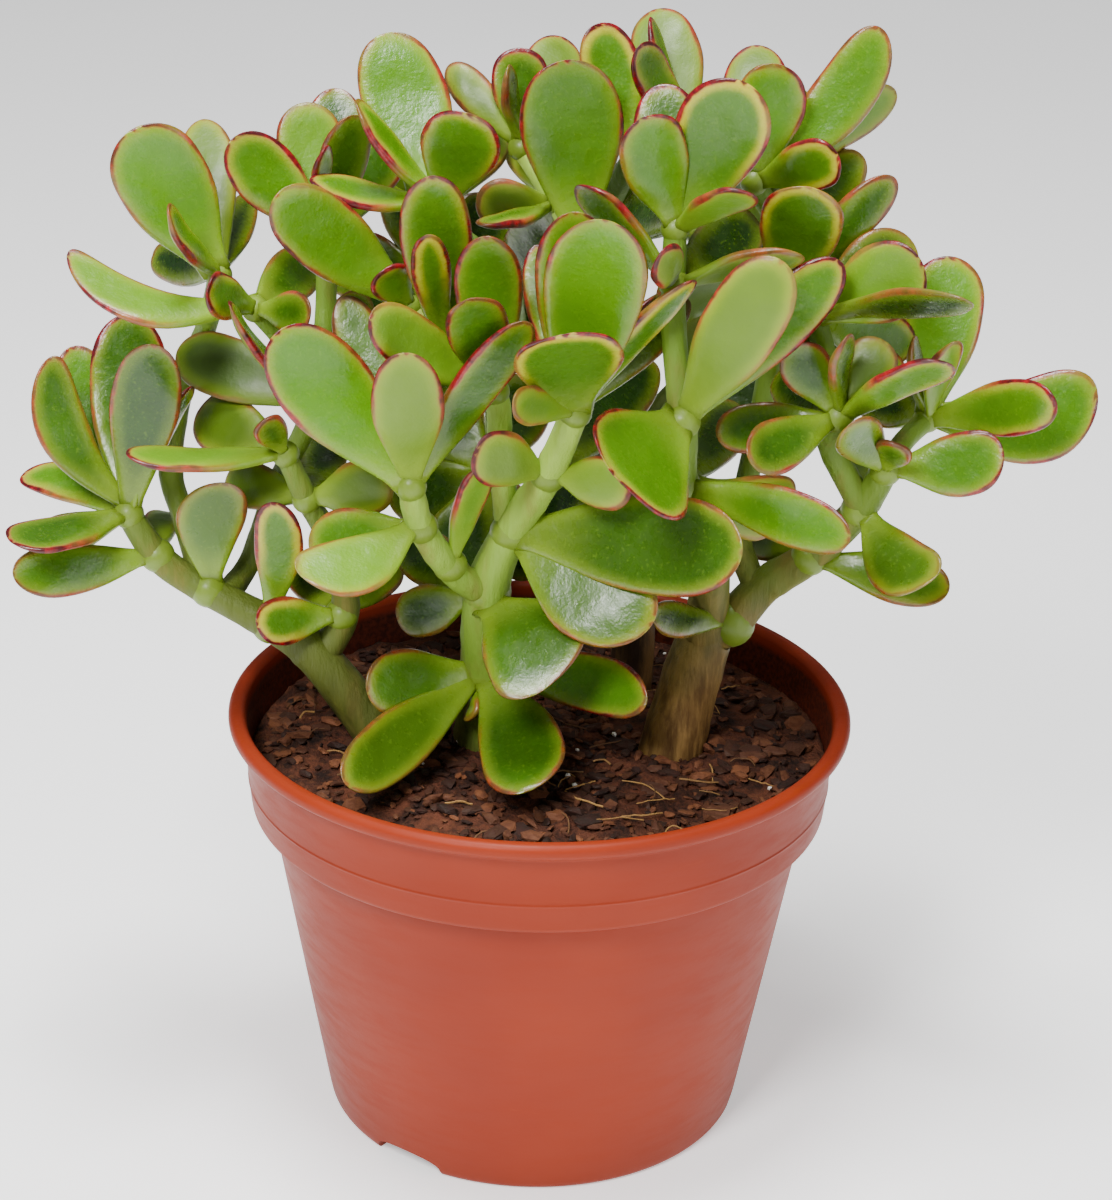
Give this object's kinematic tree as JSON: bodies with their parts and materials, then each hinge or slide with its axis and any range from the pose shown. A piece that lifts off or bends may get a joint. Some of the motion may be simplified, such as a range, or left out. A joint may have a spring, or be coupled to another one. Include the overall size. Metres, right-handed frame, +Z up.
{
  "type": "potted jade plant",
  "caption": "Jade plant with thick rounded red-edged leaves on branching stems, rooted in bark mix in a round terracotta-coloured plastic nursery pot.",
  "frame": {"origin": "centre of the pot's underside, on the surface it stands on", "axes": "+Z up along the pot's axis; +X to the right as seen from the front; -Y toward the front, the side shown in the picture"},
  "size_m": [0.287, 0.1854, 0.3058],
  "materials": {
    "pot_plastic": "satin terracotta-coloured plastic",
    "bark_mix": "rough loose bark and peat",
    "bark": "rough brown bark turning green above",
    "green_stem": "satin green stem with tan streaks",
    "leaf": "glossy green leaf with a red margin"
  },
  "bodies": {
    "root": {"pot": "pot_plastic", "soil": "bark_mix", "stem_left": "green_stem", "stem_middle": "green_stem", "stem_right": "bark", "stem_back": "bark", "leaves_left_end": "leaf", "leaves_left_elbow": "leaf", "leaves_left_node": "leaf", "leaves_left_low": "leaf", "leaves_left_inner_low": "leaf", "leaves_left_fork": "leaf", "leaves_left_mid": "leaf", "leaves_left_inner": "leaf", "leaves_left_upper": "leaf", "leaves_left_top": "leaf", "leaves_top_left": "leaf", "leaves_upper_left": "leaf", "leaves_top_mid_left": "leaf", "leaves_mid_left": "leaf", "leaves_centre_left": "leaf", "leaves_front_left": "leaf", "leaves_front_left_low": "leaf", "leaves_middle_node": "leaf", "leaves_middle_spur": "leaf", "leaves_middle_fork": "leaf", "leaves_middle_upper": "leaf", "leaves_middle_foot": "leaf", "leaves_centre": "leaf", "leaves_top_mid": "leaf", "leaves_top_mid_back": "leaf", "leaves_top_crown": "leaf", "leaves_right_mid": "leaf", "leaves_right_knee": "leaf", "leaves_right_inner": "leaf", "leaves_right_upper": "leaf", "leaves_crown_mid": "leaf", "leaves_crown_right": "leaf", "leaves_right_crown": "leaf", "leaves_right_back": "leaf", "leaves_right_round": "leaf", "leaves_right_bowl": "leaf", "leaves_right_spray": "leaf", "leaves_right_end": "leaf", "leaves_right_far": "leaf", "leaves_right_low": "leaf", "leaves_right_lowest": "leaf", "leaves_trunk": "leaf", "leaves_back_high_left": "leaf", "leaves_back_left": "leaf", "leaves_back_right": "leaf", "leaves_back_low": "leaf", "leaves_back_high_right": "leaf", "leaves_back_mid": "leaf"}
  },
  "joints": []
}
